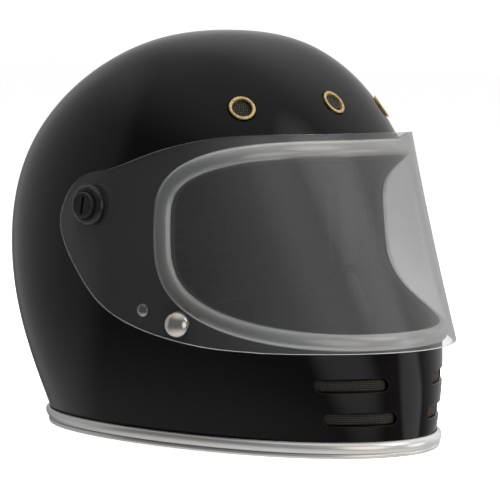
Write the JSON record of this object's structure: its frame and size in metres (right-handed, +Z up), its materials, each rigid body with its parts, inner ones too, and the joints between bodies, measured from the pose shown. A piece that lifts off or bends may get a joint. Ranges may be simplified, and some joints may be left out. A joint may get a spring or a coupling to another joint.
{
  "type": "full-face motorcycle helmet",
  "caption": "Round full-face motorcycle helmet with a clear flip-up visor, brow and chin vents, a padded lining and a fastened chin strap that swings on its rivets.",
  "frame": {"origin": "on the surface the helmet stands on, under the middle of its overall length and width", "axes": "+Z up, the face looks along -Y, the wearer's left is +X"},
  "size_m": [0.2762, 0.3322, 0.271],
  "materials": {
    "shell_lacquer": "gloss black lacquer over laminate",
    "silver_bead": "satin silver metallised bead",
    "brass": "aged brass",
    "mesh": "blackened wire mesh",
    "clear_visor": "clear hard-coated polycarbonate",
    "polished_steel_knobs": "polished",
    "base_plastic": "fine satin black",
    "bush_nylon": "black nylon",
    "pivot_gloss": "gloss black",
    "zinc_nut": "zinc plated",
    "eps_foam": "black expanded polystyrene",
    "crown_lining": "quilted knitted lining",
    "pad_lining": "padded lining",
    "stainless_hardware": "polished stainless",
    "webbing": "woven nylon webbing",
    "stainless_rings": "polished stainless",
    "keeper_rubber": "moulded rubber"
  },
  "bodies": {
    "helmet": {"outer_shell": "shell_lacquer", "eyeport_trim": "silver_bead", "rim_trim": "silver_bead", "brow_vent_grommet_left": "brass", "brow_vent_mesh_left": "mesh", "brow_vent_grommet_centre": "brass", "brow_vent_mesh_centre": "mesh", "brow_vent_grommet_right": "brass", "brow_vent_mesh_right": "mesh", "rear_vent_grommet": "brass", "rear_vent_mesh": "mesh", "chin_vent_mesh_upper_left": "mesh", "chin_vent_mesh_upper_right": "mesh", "chin_vent_mesh_lower_left": "mesh", "chin_vent_mesh_lower_right": "mesh", "pivot_base_left": "base_plastic", "pivot_base_right": "base_plastic", "pivot_cap_left": "pivot_gloss", "pivot_cap_right": "pivot_gloss", "pivot_screw_left": "pivot_gloss", "pivot_screw_right": "pivot_gloss", "pivot_nut_left": "zinc_nut", "pivot_nut_right": "zinc_nut", "impact_liner": "eps_foam", "crown_pad": "crown_lining", "cheek_pad_left": "pad_lining", "cheek_pad_right": "pad_lining", "chin_liner": "eps_foam", "neck_roll": "pad_lining", "strap_rivet_left": "stainless_hardware", "strap_rivet_right": "stainless_hardware", "rivet_spacer_left": "bush_nylon", "rivet_spacer_right": "bush_nylon"},
    "visor": {"visor_shield": "clear_visor", "visor_knob_left": "polished_steel_knobs", "visor_knob_screw_left": "polished_steel_knobs", "visor_knob_right": "polished_steel_knobs", "visor_knob_screw_right": "polished_steel_knobs", "visor_bush_left": "bush_nylon", "visor_bush_right": "bush_nylon"},
    "chin_strap": {"strap_hanger_left": "stainless_hardware", "strap_hanger_right": "stainless_hardware", "short_strap": "webbing", "long_strap": "webbing", "d_ring_inner": "stainless_rings", "d_ring_outer": "stainless_rings", "strap_snap_cap": "stainless_rings", "strap_snap_rivet": "stainless_rings", "strap_keeper": "keeper_rubber"}
  },
  "joints": [
    {"name": "visor_hinge", "type": "hinge", "parent": "helmet", "child": "visor", "pos_m": [0, 0.0111, 0.156], "axis": [-1, 0, 0], "range_deg": [0, 55]},
    {"name": "chin_strap_swing", "type": "hinge", "parent": "helmet", "child": "chin_strap", "pos_m": [0, -0.0285, 0.0904], "axis": [-1, 0, 0], "range_deg": [-15, 20]}
  ]
}
